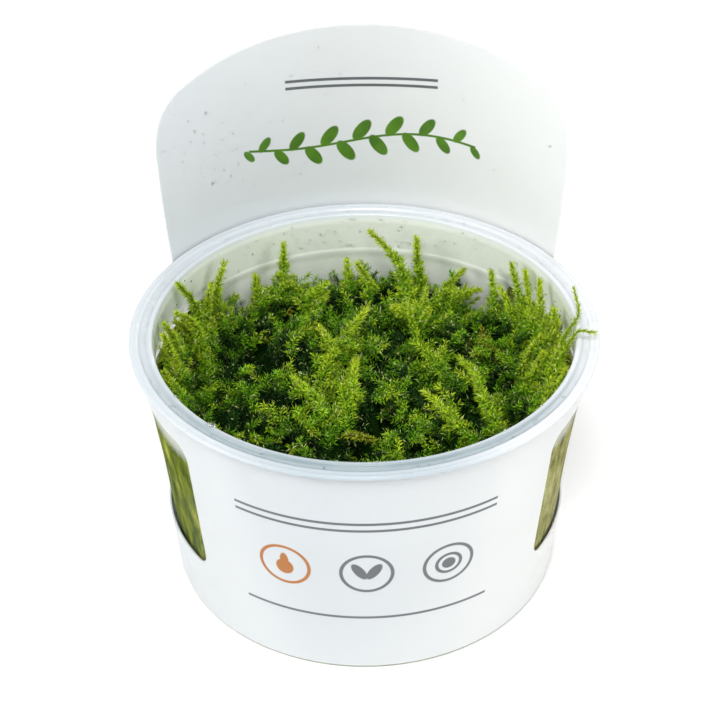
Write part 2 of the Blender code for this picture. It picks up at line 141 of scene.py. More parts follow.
# Bright fronds that lie on the cushion: the line of each and the length of its branches
BRIGHT_FRONDS = (
    (((-14.6, -9.2, 49.0), (-12.4, -11.1, 49.8), (-9.6, -13.2, 49.8)), 1.6),
    (((-14.1, -15.2, 48.0), (-12.3, -19.6, 48.8), (-10.8, -23.3, 48.6)), 1.8),
    (((-9.1, -5.0, 49.0), (-8.0, -2.4, 50.4), (-7.4, 2.3, 51.0)), 2.4),
    (((-3.5, -17.0, 49.0), (-4.4, -8.5, 50.4), (-2.2, -1.5, 50.8)), 2.2),
    (((27.5, -19.0, 47.0), (26.0, -15.7, 49.2), (23.9, -10.4, 50.6), (20.1, -5.3, 50.8)), 2.0),
    (((21.0, -21.3, 46.8), (17.3, -18.0, 49.2), (13.2, -15.9, 49.8)), 2.2),
    (((12.0, 16.8, 49.0), (9.4, 18.4, 50.6), (6.5, 18.7, 51.0)), 1.4),
    (((14.8, 1.3, 48.8), (13.4, 3.0, 50.2), (11.0, 5.5, 50.8)), 1.8),
    (((18.3, -13.9, 49.0), (17.1, -12.8, 50.2), (15.5, -9.8, 50.6)), 2.0),
    (((-15.8, 7.4, 49.0), (-15.1, 8.6, 50.6), (-10.8, 12.8, 51.0)), 1.4),
    (((-4.4, 10.2, 49.0), (-3.5, 11.0, 50.8), (-1.1, 14.2, 51.4)), 1.6),
    (((-23.1, 26.7, 48.4), (-23.8, 28.4, 50.0), (-24.0, 30.6, 50.8)), 2.4),
    (((6.5, -28.6, 46.5), (6.6, -26.6, 47.5), (6.6, -24.6, 48.2)), 2.2),
    (((41.0, -6.0, 50.0), (42.4, -3.6, 53.0), (43.2, -0.6, 55.0)), 2.4),
    (((38.6, -8.0, 48.5), (40.4, -5.0, 51.5), (41.9, -0.8, 54.0)), 3.0),
)

# Water: how many beads are tried in each place, and the drops on the lip, with their degrees
# from the front and radius
WATER_SEED = 21
GROOVE_BEADS, WALL_BEADS, HEADER_BEADS = 90, 110, 320
LIP_DROPS = ((-43.0, 0.95), (-58.6, 0.4), (-7.2, 0.35), (2.9, 0.4), (38.0, 0.4), (52.0, 0.35))

# Printed motifs on the card, in millimetres across and up: rings, filled ovals with their
# half sizes and turn, and straight rules with their half length
GREY_RINGS = ((0.0, 30.0, 5.6), (17.0, 30.0, 5.6), (17.0, 30.0, 3.0))
ORANGE_RINGS = ((-17.0, 30.0, 5.6),)
RING_WIDTH = 0.75
GREY_OVALS = (
    (-1.5, 30.6, 1.1, 2.6, 32.0),
    (1.5, 30.6, 1.1, 2.6, -32.0),
    (17.0, 30.0, 1.5, 1.5, 0.0),
)
ORANGE_OVALS = (
    (-17.0, 29.4, 1.9, 2.1, 0.0),
    (-17.0, 31.2, 0.95, 2.2, 0.0),
)
GREY_RULES = (
    (0.0, 44.5, 27.0),
    (0.0, 42.6, 27.0),
    (0.0, 16.5, 27.0),
    (0.0, 91.5, 17.0),
    (0.0, 89.8, 17.0),
)
RULE_HALF, PRINT_SOFT = 0.35, 0.12
SPRIG_Z, SPRIG_HALF, SPRIG_LEAVES = 76.0, 26.0, 15
SPRIG_SWAY, SPRIG_BEND = 1.6, 3.0

# Soft lamps, aimed at the cup: place, size and power
AIM_Z = 40.0
LAMPS = {
    "key": ((-100.0, -1250.0, 2050.0), 900.0, 37.5),
    "right_fill": ((1500.0, -700.0, 1000.0), 1000.0, 12.0),
    "left_fill": ((-1500.0, -700.0, 1000.0), 1000.0, 16.5),
    "back_fill": ((210.0, 1470.0, 1820.0), 1100.0, 12.0),
}
SURROUND = 0.28

# Camera, at the photograph's viewing angle
CAMERA_TILT = math.radians(36.36)
CAMERA_AWAY = 430.7
CAMERA_AIM_Z = 50.48
CAMERA_LEFT = 0.95
CAMERA_ROLL = -0.01
LENS = 100.0


# Materials


def srgb(text):
    """Linear colour of a hex colour, with an alpha of 1."""
    values = [int(text[start : start + 2], 16) / 255 for start in (1, 3, 5)]
    return (*(v / 12.92 if v <= 0.04045 else ((v + 0.055) / 1.055) ** 2.4 for v in values), 1.0)


class Finish:
    """A material with one Principled shader and helpers that add nodes to it."""

    def __init__(self, name, color, roughness, **values):
        self.material = bpy.data.materials.new(name)
        self.material.use_nodes = True
        self.nodes = self.material.node_tree.nodes
        self.links = self.material.node_tree.links
        self.shader = self.nodes["Principled BSDF"]
        self.shader.inputs["Base Color"].default_value = color
        self.shader.inputs["Roughness"].default_value = roughness
        for key, value in values.items():
            self.shader.inputs[key.replace("_", " ").title().replace("Ior", "IOR")].default_value = value
        coordinates = self.node("TexCoord")
        self.place, self.normal = coordinates.outputs["Object"], coordinates.outputs["Normal"]
        self.axes = self.node("SeparateXYZ", {0: self.place}).outputs

    def node(self, kind, inputs=None, **settings):
        """A new node. Each input, by name or number, is linked to a socket or set to a value."""
        made = self.nodes.new("ShaderNode" + kind)
        for key, value in settings.items():
            setattr(made, key, value)
        for key, value in (inputs or {}).items():
            if isinstance(value, bpy.types.NodeSocket):
                self.links.new(value, made.inputs[key])
            else:
                made.inputs[key].default_value = value
        return made

    def stretched(self, x, y, z):
        return self.node("Mapping", {"Vector": self.place, "Scale": (x, y, z)}).outputs["Vector"]

    def noise(self, scale, detail=3.0, rough=0.5, place=None):
        inputs = {"Scale": scale, "Detail": detail, "Roughness": rough}
        inputs["Vector"] = self.place if place is None else place
        return self.node("TexNoise", inputs).outputs["Fac"]

    def along(self, axis, low, high):
        """0 at the first place on an axis and 1 at the second, in millimetres."""
        return self.spread(self.axes[axis], low * MM, high * MM)

    def length(self, vector):
        return self.node("VectorMath", {0: vector}, operation="LENGTH").outputs["Value"]

    def from_axis(self):
        """Distance from the middle of the cup, in metres."""
        flat = self.node("VectorMath", {0: self.place, 1: (1.0, 1.0, 0.0)}, operation="MULTIPLY")
        return self.length(flat.outputs["Vector"])

    def spread(self, value, low, high, to_low=0.0, to_high=1.0):
        inputs = {"Value": value, "From Min": low, "From Max": high, "To Min": to_low, "To Max": to_high}
        return self.node("MapRange", inputs, interpolation_type="SMOOTHSTEP").outputs["Result"]

    def ramp(self, value, *stops):
        node = self.node("ValToRGB", {"Fac": value})
        elements = node.color_ramp.elements
        while len(elements) < len(stops):
            elements.new(0.5)
        for element, (position, color) in zip(elements, stops):
            element.position = position
            element.color = color
        return node.outputs["Color"]

    def mix(self, share, first, second, kind="MIX"):
        node = self.node("Mix", data_type="RGBA", blend_type=kind)
        for socket, value in (("Factor", share), ("A", first), ("B", second)):
            found = next(s for s in node.inputs if s.name == socket and s.enabled)
            if isinstance(value, bpy.types.NodeSocket):
                self.links.new(value, found)
            else:
                found.default_value = value
        return next(s for s in node.outputs if s.enabled)

    def math(self, kind, first, second=0.0):
        return self.node("Math", {0: first, 1: second}, operation=kind).outputs[0]

    def times(self, first, second):
        return self.math("MULTIPLY", first, second)

    def attribute(self, name):
        """The red, green, blue and alpha of a colour attribute."""
        node = self.node("Attribute", attribute_name=name)
        split = self.node("SeparateColor", {0: node.outputs["Color"]})
        return (*split.outputs, node.outputs["Alpha"])

    def set(self, socket, value):
        self.links.new(value, self.shader.inputs[socket])

    def bump(self, value, depth_mm, strength=1.0):
        node = self.node("Bump", {"Height": value, "Distance": depth_mm * MM, "Strength": strength})
        self.set("Normal", node.outputs["Normal"])


def frosted_plastic():
    """Milky plastic: nearly opaque at the rim, the foot and the back, and clearer beside the moss."""
    made = Finish(
        "frosted_plastic",
        srgb("#e9ecef"),
        0.28,
        coat_weight=0.15,
        coat_roughness=0.12,
        subsurface_weight=0.3,
        subsurface_radius=(1.0, 1.0, 1.0),
        subsurface_scale=0.002,
    )
    cloud = made.noise(38.0)
    streak = made.noise(60.0, 2.0, place=made.stretched(1.0, 1.0, 0.12))
    radius = made.from_axis()
    rim = made.times(made.along("Z", 56.0, 57.0), made.spread(radius, LIP_R * MM, (LIP_R + 0.4) * MM))
    inner = made.spread(radius, (LIP_R + 0.1) * MM, (LIP_R + GROOVE_IN - 0.1) * MM)
    outer = made.spread(radius, (LIP_R + GROOVE_OUT - 0.3) * MM, (LIP_R + GROOVE_OUT) * MM, 1.0, 0.0)
    groove = made.times(made.times(inner, outer), rim)
    # Painted light and shade on the rim's top: lighter towards +X, the flange darker at the front, and the
    # groove darker still towards the front.
    side = made.mix(made.along("X", -10.0, 40.0), srgb("#d2d9de"), srgb("#e2e6ea"))
    shaded_flange = made.mix(made.along("Y", -50.0, -38.0), srgb("#b8c3ca"), side)
    shaded_groove = made.mix(made.along("Y", -47.0, 0.0), srgb("#9aaab0"), side)
    # Painted shade: the foot, below 1 mm, is a darker grey-green where the cup meets the floor.
    foot = made.math("SUBTRACT", 1.0, made.along("Z", 0.7, 1.0))
    wall = made.mix(foot, made.mix(cloud, srgb("#f0f7ec"), srgb("#f8fcf4")), srgb("#9a9f88"))
    made.set("Base Color", made.mix(rim, wall, made.mix(groove, shaded_flange, shaded_groove)))
    dry = foot
    behind = made.times(made.along("Z", 34.0, 38.0), made.along("Y", 30.0, 31.6))
    for milky in (behind, made.times(made.along("Z", 45.3, 48.6), 0.6), made.along("Z", 49.5, 52.5)):
        dry = made.math("MAXIMUM", dry, milky)
    thick = made.times(made.math("SUBTRACT", dry, made.times(rim, 0.1)), 0.94)
    made.set("Alpha", made.math("ADD", made.spread(streak, 0.3, 0.7, 0.01, 0.03), thick))
    made.set("Roughness", made.spread(cloud, 0.3, 0.7, 0.2, 0.36))
    made.bump(made.noise(420.0, 2.0), 0.03, 0.5)
    return made.material


def coated_card():
    made = Finish(
        "coated_card",
        srgb("#dde1e4"),
        0.42,
        coat_weight=0.1,
        coat_roughness=0.25,
        subsurface_weight=0.5,
        subsurface_radius=(1.0, 1.0, 1.0),
        subsurface_scale=0.001,
    )
    cloud = made.times(made.noise(22.0, 2.0), 0.3)
    # Painted light and shade: the card grows lighter towards +X and darker on its front, towards -Y; the
    # cloud is random tone.
    across = made.times(made.along("X", -46.0, 46.0), 0.7)
    front = made.times(made.along("Y", -36.0, -46.0), 0.38)
    tone = made.math("SUBTRACT", made.math("ADD", cloud, across), front)
    blank = made.mix(tone, srgb("#c6cbce"), srgb("#e0e2e0"))
    made.set("Base Color", with_print(made, blank))
    made.set("Roughness", made.spread(made.noise(160.0), 0.3, 0.7, 0.34, 0.5))
    fibre = made.times(made.noise(900.0, 3.0, 0.6), 0.12)
    made.bump(made.math("ADD", fibre, made.noise(30.0, 1.0)), 0.12, 0.6)
    return made.material


class Print:
    """Shapes printed on the card, from places across and up the card in millimetres."""

    def __init__(self, made):
        self.made = made
        x, y, z = (made.times(socket, 1.0 / MM) for socket in made.axes)
        header = made.spread(z, SLEEVE_TOP_Z + 2.0, SLEEVE_TOP_Z + 2.1)
        front = made.times(made.math("ARCTAN2", x, made.times(y, -1.0)), FOOT_R + 3.0)
        behind = made.times(made.math("ARCTAN2", x, y), HEADER_R)
        from_front = made.times(made.math("SUBTRACT", 1.0, header), front)
        self.across = made.math("ADD", made.times(header, behind), from_front)
        self.up = z
        self.place = made.node("CombineXYZ", {0: self.across, 1: z}).outputs[0]
        outward = made.node("VectorMath", {0: made.normal, 1: made.place}, operation="DOT_PRODUCT")
        facing = made.times(outward.outputs["Value"], made.spread(header, 0.4, 0.6, 1.0, -1.0))
        self.side = made.spread(facing, 0.0, 0.01)

    def oval(self, across, up, half_wide, half_high, turn):
        inputs = {
            "Vector": self.place,
            "Location": (across, up, 0.0),
            "Rotation": (0.0, 0.0, math.radians(turn)),
            "Scale": (half_wide, half_high, 1.0),
        }
        local = self.made.node("Mapping", inputs, vector_type="TEXTURE").outputs["Vector"]
        soft = PRINT_SOFT / half_wide
        return self.made.spread(self.made.length(local), 1.0 - soft, 1.0 + soft, 1.0, 0.0)

    def ring(self, across, up, radius):
        inner = radius - RING_WIDTH
        hole = self.oval(across, up, inner, inner, 0.0)
        return self.made.math("SUBTRACT", self.oval(across, up, radius, radius, 0.0), hole)

    def rule(self, across, up, half_long):
        long = self.within(self.across, across, half_long)
        return self.made.times(long, self.within(self.up, up, RULE_HALF))

    def within(self, value, middle, half):
        away = self.made.math("ABSOLUTE", self.made.math("SUBTRACT", value, middle))
        return self.made.spread(away, half - 0.1, half + 0.1, 1.0, 0.0)

    def all_of(self, shapes):
        total = shapes[0]
        for shape in shapes[1:]:
            total = self.made.math("MAXIMUM", total, shape)
        return self.made.times(total, self.side)


def with_print(made, blank):
    """The blank card with rings, rules and a leafy sprig printed on it."""
    marks = Print(made)
    grey = [marks.ring(*ring) for ring in GREY_RINGS] + [marks.rule(*rule) for rule in GREY_RULES]
    grey += [marks.oval(*oval) for oval in GREY_OVALS]
    orange = [marks.ring(*ring) for ring in ORANGE_RINGS] + [marks.oval(*oval) for oval in ORANGE_OVALS]
    sprig = []
    for index in range(SPRIG_LEAVES):
        share = 2.0 * index / (SPRIG_LEAVES - 1) - 1.0
        side = 1 if index % 2 else -1
        size = 1.0 - 0.45 * share**2
        up = SPRIG_Z + SPRIG_SWAY * math.sin(SPRIG_BEND * share) + 2.3 * side * size
        sprig.append(marks.oval(SPRIG_HALF * share, up, 1.5 * size, 3.1 * size, -36.0 * side))
    sway = made.math("SINE", made.times(marks.across, SPRIG_BEND / SPRIG_HALF))
    bent = made.math("SUBTRACT", marks.up, made.times(sway, SPRIG_SWAY))
    sprig.append(made.times(marks.within(bent, SPRIG_Z, 0.3), marks.within(marks.across, 0.0, SPRIG_HALF)))
    colour = made.mix(marks.all_of(grey), blank, srgb("#5e6266"))
    colour = made.mix(marks.all_of(orange), colour, srgb("#a8661a"))
    leaf = made.mix(made.noise(260.0, 2.0), srgb("#2c5612"), srgb("#649428"))
    return made.mix(marks.all_of(sprig), colour, leaf)


def moss_leaf():
    """Yellow-green tips over deep green, with olive and brownish patches, painted shade through the
    freshness, and a few pale leaves as painted highlights.
    """
    made = Finish(LEAF_FINISH, srgb("#5f9a12"), 0.5, specular_ior_level=0.3)
    along, leaf, fresh_and_shade, warm = made.attribute("leaf")
    deep = made.mix(along, srgb("#0c2e01"), srgb("#245e03"))
    green = made.mix(along, srgb("#4c9606"), srgb("#94d808"))
    bright = made.mix(along, srgb("#84cc0a"), srgb("#dcf62c"))
    olive = made.mix(along, srgb("#747010"), srgb("#cdbe28"))
    patch = made.spread(made.noise(110.0, 2.0), 0.35, 0.7)
    green = made.mix(patch, green, made.mix(0.5, green, srgb("#9ad80e")))
    # The freshness carries painted shade, so shaded leaves take the deep green.
    body = made.mix(made.spread(fresh_and_shade, 0.0, 0.45), deep, green)
    body = made.mix(made.spread(fresh_and_shade, 0.45, 1.0), body, bright)
    body = made.mix(made.spread(warm, 0.45, 1.0), body, olive)
    # Painted highlights: a few leaves are painted pale as glints.
    pale = made.mix(made.spread(leaf, 0.93, 0.96), body, srgb("#d6e290"))
    shade = made.mix(leaf, srgb("#b4b4b4"), srgb("#ffffff"))
    made.set("Base Color", made.mix(1.0, pale, shade, "MULTIPLY"))
    made.set("Roughness", made.spread(leaf, 0.0, 1.0, 0.38, 0.6))
    return made.material


def moss_depth():
    """The depth of the cushion, seen between the leaves and through the cup's side windows. Its top is
    near-black as painted shade.
    """
    made = Finish("moss_depth", srgb("#16300a"), 0.9, specular_ior_level=0.05)
    streak = made.noise(330.0, 5.0, 0.7, place=made.stretched(1.0, 1.0, 0.35))
    clump = made.noise(95.0, 3.0, 0.6)
    pressed = made.math("ADD", made.times(streak, 0.62), made.times(clump, 0.38))
    side = made.ramp(
        pressed,
        (0.36, srgb("#1a2406")),
        (0.46, srgb("#4a5a08")),
        (0.56, srgb("#7a8420")),
        (0.66, srgb("#aeae4e")),
    )
    dry = made.ramp(pressed, (0.36, srgb("#4a4a20")), (0.5, srgb("#a09a5c")), (0.66, srgb("#d8d2a4")))
    side = made.mix(made.times(made.along("X", 10.0, 44.0), 0.7), side, dry)
    # Painted shade: the top, seen between the leaves, is near-black.
    top = made.mix(streak, srgb("#041002"), srgb("#143203"))
    flare = made.times(made.along("Z", 0.0, 38.0), 3.4 * MM)
    from_wall = made.math("SUBTRACT", made.from_axis(), flare)
    made.set("Base Color", made.mix(made.spread(from_wall, 40.95 * MM, 41.1 * MM, 1.0, 0.0), side, top))
    made.bump(streak, 0.8)
    return made.material


def clear_water():
    made = Finish("clear_water", srgb("#ffffff"), 0.02, transmission_weight=1.0, ior=1.33)
    made.set("Roughness", made.spread(made.noise(300.0), 0.3, 0.7, 0.0, 0.05))
    return made.material


# Shapes


def mesh_object(name, points, faces, finish, leaf=None, smooth=None):
    """A smooth mesh from points in millimetres, with edges sharper than an angle left sharp."""
    mesh = bpy.data.meshes.new(name)
    mesh.from_pydata(np.asarray(points, np.float32) * MM, [], faces, shade_flat=False)
    if leaf is not None:
        layer = mesh.color_attributes.new("leaf", "FLOAT_COLOR", "POINT")
        layer.data.foreach_set("color", np.asarray(leaf, np.float32).ravel())
    if smooth is not None:
        mesh.set_sharp_from_angle(angle=math.radians(smooth))
    mesh.materials.append(finish)
    return placed(name, mesh)


def placed(name, data):
    obj = bpy.data.objects.new(name, data)
    bpy.context.scene.collection.objects.link(obj)
    return obj


def apply_modifiers(obj):
    graph = bpy.context.evaluated_depsgraph_get()
    mesh = bpy.data.meshes.new_from_object(obj.evaluated_get(graph))
    obj.modifiers.clear()
    obj.data = mesh


def around(radius, angle, z):
    return (radius * math.sin(angle), -radius * math.cos(angle), z)


def circle(radius, z, sides):
    return [around(radius, math.tau * side / sides, z) for side in range(sides)]


def closed_faces(circles, sides, low_tip, high_tip):
    """Faces of a form made of circles, from the first point of each and the points that close it."""
    faces = []
    for side in range(sides):
        after = (side + 1) % sides
        faces.append((low_tip, circles[0] + after, circles[0] + side))
        for low, high in zip(circles, circles[1:]):
            faces.append((high + side, low + side, low + after, high + after))
        faces.append((high_tip, circles[-1] + side, circles[-1] + after))
    return faces


def smooth_step(value):
    value = min(max(value, 0.0), 1.0)
    return value * value * (3.0 - 2.0 * value)


def sleeve_r(z):
    share = (z - SLEEVE_FOOT_Z) / (SLEEVE_TOP_Z - SLEEVE_FOOT_Z)
    return SLEEVE_FOOT_R + (SLEEVE_TOP_R - SLEEVE_FOOT_R) * share


def wall_r(z):
    return sleeve_r(z) - CARD - WALL_GAP


def rounded(corners, steps=4):
    """A profile from corners (radius, z, rounding), with each corner rounded off."""
    profile = [corners[0][:2]]
    for before, (r, z, rounding), after in zip(corners, corners[1:-1], corners[2:]):
        here = Vector((r, z))
        to_before, to_after = Vector(before[:2]) - here, Vector(after[:2]) - here
        reach = min(rounding, to_before.length * 0.45, to_after.length * 0.45)
        if reach < 0.02:
            profile.append((r, z))
            continue
        start, end = here + to_before.normalized() * reach, here + to_after.normalized() * reach
        for step in range(steps + 1):
            t = step / steps
            point = start * (1 - t) ** 2 + here * 2 * t * (1 - t) + end * t**2
            profile.append(tuple(point))
    profile.append(corners[-1][:2])
    return profile


def turned(name, profile, sides, finish):
    points = [(0.0, 0.0, profile[0][1]), (0.0, 0.0, profile[-1][1])]
    for radius, z in profile[1:-1]:
        points += circle(radius, z, sides)
    faces = closed_faces(range(2, len(points), sides), sides, 0, 1)
    return mesh_object(name, points, faces, finish, smooth=50)


def make_cup():
    inner_low = wall_r(CUP_FLOOR + 2.0) - CUP_WALL
    corners = [
        (0.0, 0.0, 0.0),
        (FOOT_R, 0.0, 0.3),
        (FOOT_R, 0.6, 0.1),
        (wall_r(0.8), 0.7, 0.1),
        (wall_r(BODY_TOP_Z), BODY_TOP_Z, 1.2),
        (COLLAR_R, COLLAR_LOW_Z, 1.6),
        (COLLAR_R, FLANGE_UNDER_Z, 0.6),
        (FLANGE_R, FLANGE_UNDER_Z, 0.25),
        (FLANGE_R, FLANGE_Z, 0.35),
        (FLANGE_R - LINE_OUT, FLANGE_Z, 0.15),
        (FLANGE_R - LINE_OUT - 0.15, FLANGE_Z - LINE_DEPTH, 0.1),
        (FLANGE_R - LINE_IN + 0.15, FLANGE_Z - LINE_DEPTH, 0.1),
        (FLANGE_R - LINE_IN, FLANGE_Z, 0.15),
        (LIP_R + GROOVE_OUT, FLANGE_Z, 0.3),
        (LIP_R + GROOVE_OUT - 0.35, FLANGE_Z - GROOVE_DEPTH, 0.3),
        (LIP_R + GROOVE_IN, FLANGE_Z - GROOVE_DEPTH, 0.3),
        (LIP_R + LIP_WIDTH, LIP_Z, 0.3),
        (LIP_R + 0.35, LIP_Z, 0.4),
        (LIP_R, LIP_Z - 1.7, 0.6),
        (LIP_R + 0.3, STEP_Z + 0.9, 0.5),
        (LIP_R + 0.18, STEP_Z + 0.4, 0.3),
        (LIP_R + 0.22, STEP_Z - 0.3, 0.4),
        (LIP_R + 0.45, STEP_Z - 1.6, 0.6),
        (LIP_R + 0.6, 37.0, 3.0),
        (inner_low, CUP_FLOOR + 2.0, 0.8),
        (inner_low - 1.6, CUP_FLOOR, 1.2),
        (0.0, CUP_FLOOR, 0.0),
    ]
    cup = turned("plastic_cup", rounded(corners), 288, frosted_plastic())
    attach(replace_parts(cup, "cup"), "root")


def on_header(across, z):
    curve = 1.0 / HEADER_R - HEADER_FLATTEN * (z - SLEEVE_TOP_Z)
    turn = across * curve
    return (math.sin(turn) / curve, HEADER_R - (1.0 - math.cos(turn)) / curve, z)


def header_edge(arc_columns, shoulder_columns):
    """Across and height along the right half of the header's top edge."""
    arc_z = HEADER_TOP_Z - HEADER_ARC_R
    side = HEADER_HALF * math.cos(HEADER_LEAN) + SLEEVE_TOP_Z * math.sin(HEADER_LEAN)
    inner = HEADER_ARC_R - SHOULDER_R
    turn = math.asin((side - SHOULDER_R - arc_z * math.sin(HEADER_LEAN)) / inner) - HEADER_LEAN
    edge = []
    for step in range(arc_columns):
        angle = turn * step / arc_columns
        edge.append((HEADER_ARC_R * math.sin(angle), arc_z + HEADER_ARC_R * math.cos(angle)))
    middle = (inner * math.sin(turn), arc_z + inner * math.cos(turn))
    last = math.pi / 2 - HEADER_LEAN
    for step in range(shoulder_columns + 1):
        angle = turn + (last - turn) * step / shoulder_columns
        across = middle[0] + SHOULDER_R * math.sin(angle)
        edge.append((across, middle[1] + SHOULDER_R * math.cos(angle)))
    return edge


def sleeve_mid_r(z, angle, header_turn):
    plain = sleeve_r(z) - CARD / 2
    out = HEADER_R - (SLEEVE_TOP_R - CARD / 2)
    rise = smooth_step((z - BULGE_START_Z) / (BULGE_END_Z - BULGE_START_Z))
    fade = 1.0 - smooth_step((math.pi - abs(angle) - header_turn) / BULGE_FADE)
    return plain + out * rise * fade


def window_cutter():
    """Two blocks, one for each side window, with round corners."""
    points, faces = [], []
    radius = (sleeve_r(WINDOW_LOW_Z) + sleeve_r(WINDOW_HIGH_Z)) / 2
    corner_turn = WINDOW_CORNER / radius
    for side in (-1, 1):
        turn = math.radians(WINDOW_TURN_DEG)
        front, rear = sorted(side * math.radians(edge) + turn for edge in (WINDOW_FRONT_DEG, WINDOW_BACK_DEG))
        outline = []
        for quarter in range(4):
            at = rear - corner_turn if quarter in (0, 3) else front + corner_turn
            z = WINDOW_HIGH_Z - WINDOW_CORNER if quarter < 2 else WINDOW_LOW_Z + WINDOW_CORNER
            for step in range(13):
                angle = math.pi / 2 * (quarter + step / 12)
                outline.append((at + corner_turn * math.cos(angle), z + WINDOW_CORNER * math.sin(angle)))
        start, count = len(points), len(outline)
        points += [around(FOOT_R - 6, angle, z) for angle, z in outline]
        points += [around(FLANGE_R + 6, angle, z) for angle, z in outline]
        middle = ((front + rear) / 2, (WINDOW_LOW_Z + WINDOW_HIGH_Z) / 2)
        points += [around(FOOT_R - 6, *middle), around(FLANGE_R + 6, *middle)]
        for step in range(count):
            here, after = start + step, start + (step + 1) % count
            faces.append((here, after, after + count, here + count))
            faces.append((here, start + 2 * count, after))
            faces.append((after + count, start + 2 * count + 1, here + count))
    return mesh_object("window_cutter", points, faces, None)


def make_sleeve():
    edge = header_edge(arc_columns=20, shoulder_columns=16)
    half = len(edge) - 1
    header_turn = HEADER_HALF / HEADER_R
    back = [header_turn * step / half for step in range(-half, half + 1)]
    angles = [-math.pi + turn for turn in back if turn >= 0]
    front = 2 * (math.pi - header_turn)
    front_columns = 150
    angles += [angles[-1] + front * step / front_columns for step in range(1, front_columns + 1)]
    angles += [math.pi + turn for turn in back if -header_turn < turn < 0]
    rows = [SLEEVE_FOOT_Z, 6.0, 12.0, 18.0, 24.0, 30.0, 36.0, 42.0]
    rows += [46.0, 47.5, 49.0, 50.5, 52.0, 53.5, 55.0, 56.2, SLEEVE_TOP_Z]
    columns = len(angles)
    points, faces = [], []
    for z in rows:
        points += [around(sleeve_mid_r(z, angle, header_turn), angle, z) for angle in angles]
    for row in range(len(rows) - 1):
        for column in range(columns):
            low = row * columns + column
            beside = row * columns + (column + 1) % columns
            faces.append((low, beside, beside + columns, low + columns))
    top = (len(rows) - 1) * columns
    below = [top + step % columns for step in range(half, -half - 1, -1)]
    starts = [turn * HEADER_R for turn in back]
    ends = [(-across, z) for across, z in reversed(edge)] + edge[1:]
    header_rows = 20
    for row in range(1, header_rows + 1):
        share = row / header_rows
        above = []
        for start, (end, end_z) in zip(starts, ends):
            above.append(len(points))
            z = SLEEVE_TOP_Z + (end_z - SLEEVE_TOP_Z) * share
            points.append(on_header(start + (end - start) * share, z))
        for column in range(2 * half):
            faces.append((below[column + 1], below[column], above[column], above[column + 1]))
        below = above
    card = coated_card()
    sleeve = mesh_object("label_card_sleeve", points, faces, card)
    thicken = sleeve.modifiers.new("card thickness", "SOLIDIFY")
    thicken.thickness = CARD * MM
    thicken.offset = 0.0
    thicken.use_even_offset = True
    cutter = window_cutter()
    windows = sleeve.modifiers.new("side windows", "BOOLEAN")
    windows.operation = "DIFFERENCE"
    windows.solver = "EXACT"
    windows.object = cutter
    apply_modifiers(sleeve)
    bpy.data.objects.remove(cutter)
    sleeve.data.materials.clear()
    sleeve.data.materials.append(card)
    sleeve.data.set_sharp_from_angle(angle=math.radians(40))
    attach(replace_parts(sleeve, "label_sleeve"), "root")


# Moss


class MatTop:
    """Height of the mat's own top, read from its solid."""

    def __init__(self):
        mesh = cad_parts["moss_mat"].data
        points = [vertex.co / MM for vertex in mesh.vertices]
        self.tree = BVHTree.FromPolygons(points, [face.vertices[:] for face in mesh.polygons])

    def z(self, x, y):
        hit = self.tree.ray_cast(Vector((x, y, 90.0)), Vector((0.0, 0.0, -1.0)))[0]
        return hit.z if hit else MAT_EDGE_Z


def share_of(places, x, y, flat=0.0, fade=1.0):
    """1 in the middle of any of the places, and 0 outside them all."""
    near = (math.hypot(x - middle_x, y - middle_y) / radius for middle_x, middle_y, radius in places)
    return max(1.0 - smooth_step((each - flat) / fade) for each in near)


def in_hollow(x, y):
    return share_of(HOLLOWS, x, y, 0.35, 0.75)


def relief(x, y):
    """Rise and fall of the cushion between its fronds, from about -0.7 to 0.7."""
    return noise.noise(Vector((x, y, 4.0)) / RELIEF_SPAN) * RELIEF_HIGH


def welded(mesh):
    """Points of a mesh in millimetres with doubles joined, and its triangles."""
    points = np.empty(len(mesh.vertices) * 3)
    mesh.vertices.foreach_get("co", points)
    points = points.reshape(-1, 3) / MM
    joined, index = np.unique(points.round(3), axis=0, return_inverse=True)
    mesh.calc_loop_triangles()
    triangles = np.array([triangle.vertices[:] for triangle in mesh.loop_triangles])
    return joined, index.reshape(-1)[triangles]


def neighbours(count, triangles):
    beside = [set() for _ in range(count)]
    for a, b, c in triangles:
        beside[a] |= {b, c}
        beside[b] |= {a, c}
        beside[c] |= {a, b}
    return beside


def tuft_tips():
    """The tips of the mat's tufts: points of its solid that stand above all those beside them."""
    points, triangles = welded(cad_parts["moss_mat"].data)
    beside = neighbours(len(points), triangles)
    tips = []
    for index, point in enumerate(points):
        if point[2] > 30 and all(points[other][2] < point[2] for other in beside[index]):
            tips.append(point)
    return np.array(tips)


def shoot_line(name):
    """Middle line and widest half width of a standing shoot, from its foot to its tip."""
    points, triangles = welded(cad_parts[name].data)
    beside = neighbours(len(points), triangles)
    ring = {i for i, point in enumerate(points) if point[2] < points[:, 2].min() + 0.02}
    seen, middles, widest = set(ring), [], 0.0
    while ring:
        members = points[sorted(ring)]
        middle = members.mean(0)
        middles.append(middle)
        widest = max(widest, np.linalg.norm(members - middle, axis=1).max())
        ring = {other for index in ring for other in beside[index]} - seen
        seen |= ring
    return middles, widest


